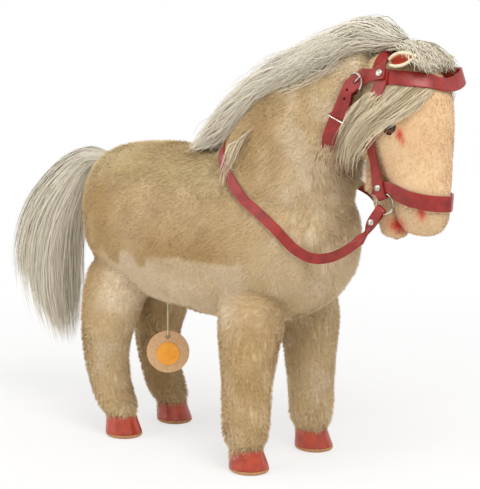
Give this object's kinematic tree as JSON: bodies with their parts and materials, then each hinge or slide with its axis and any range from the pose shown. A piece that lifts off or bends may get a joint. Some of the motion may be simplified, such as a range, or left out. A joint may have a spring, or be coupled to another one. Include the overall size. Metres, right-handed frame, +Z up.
{
  "type": "toy horse",
  "caption": "Standing stuffed horse with hair mane and tail, hard hooves, a buckled leather bridle with reins, and a tag on a thread.",
  "frame": {"origin": "centre of the bounding box on the floor under the four hooves", "axes": "+X towards the head, +Z up, +Y to the left side of the horse"},
  "size_m": [0.3882, 0.0986, 0.2895],
  "materials": {
    "mohair": "curly pile",
    "face_plush": "short pile",
    "long_hair": "long straight hair",
    "felt": "felted",
    "oilcloth": "glossy coated cloth",
    "sole_board": "matt",
    "leather": "satin",
    "nickel": "polished",
    "steel_wire": "drawn",
    "eye_glass": "polished",
    "cotton_thread": "twisted",
    "card": "matt",
    "sticker": "matt"
  },
  "bodies": {
    "horse": {"torso": "mohair", "neck": "mohair", "head": "face_plush", "leg_front_left": "mohair", "leg_rear_left": "mohair", "leg_front_right": "mohair", "leg_rear_right": "mohair", "lower_jaw": "face_plush", "mane": "long_hair", "forelock": "long_hair", "tail": "long_hair", "sole_front_left": "sole_board", "hoof_front_left": "oilcloth", "sole_front_right": "sole_board", "hoof_front_right": "oilcloth", "sole_rear_left": "sole_board", "hoof_rear_left": "oilcloth", "sole_rear_right": "sole_board", "hoof_rear_right": "oilcloth", "eye_left": "eye_glass", "eye_right": "eye_glass", "ear_left": "felt", "ear_right": "felt", "rivet_cheek_left": "nickel", "rivet_rein_left": "nickel", "rivet_cheek_right": "nickel", "rivet_rein_right": "nickel", "browband": "leather", "cheek_strap_left": "leather", "cheek_strap_right": "leather", "noseband": "leather", "throat_strap": "leather", "crown_strap": "leather", "buckle_frame": "nickel", "rivet_throat_left": "nickel", "rivet_brow_left": "nickel", "rivet_brow_right": "nickel", "reins": "leather", "leg_wire_front": "steel_wire", "leg_wire_rear": "steel_wire"},
    "tag": {"tag_card": "card", "tag_sticker": "sticker", "tag_thread": "cotton_thread"},
    "left_ring": {"ring_left": "nickel"},
    "right_ring": {"ring_right": "nickel"},
    "keeper": {"keeper_loop": "nickel"},
    "prong": {"buckle_prong": "nickel"}
  },
  "joints": [
    {"name": "tag_swing", "type": "hinge", "parent": "horse", "child": "tag", "pos_m": [-0.0318, -0.008, 0.09856], "axis": [0.6428, -0.766, 0], "range_deg": [-12, 12]},
    {"name": "ring_left_turn", "type": "hinge", "parent": "horse", "child": "left_ring", "pos_m": [0.1572, 0.01551, 0.17957], "axis": [0, 1, 0], "continuous": true},
    {"name": "ring_right_turn", "type": "hinge", "parent": "horse", "child": "right_ring", "pos_m": [0.1572, -0.01551, 0.17957], "axis": [0, 1, 0], "continuous": true},
    {"name": "keeper_slide", "type": "slide", "parent": "horse", "child": "keeper", "axis": [-0.5162, 0.0617, -0.8542], "range_m": [-0.002, 0.003]},
    {"name": "prong_lift", "type": "hinge", "parent": "horse", "child": "prong", "pos_m": [0.13722, -0.02154, 0.25067], "axis": [-0.5408, 0, 0.8412], "range_deg": [0, 2]}
  ]
}
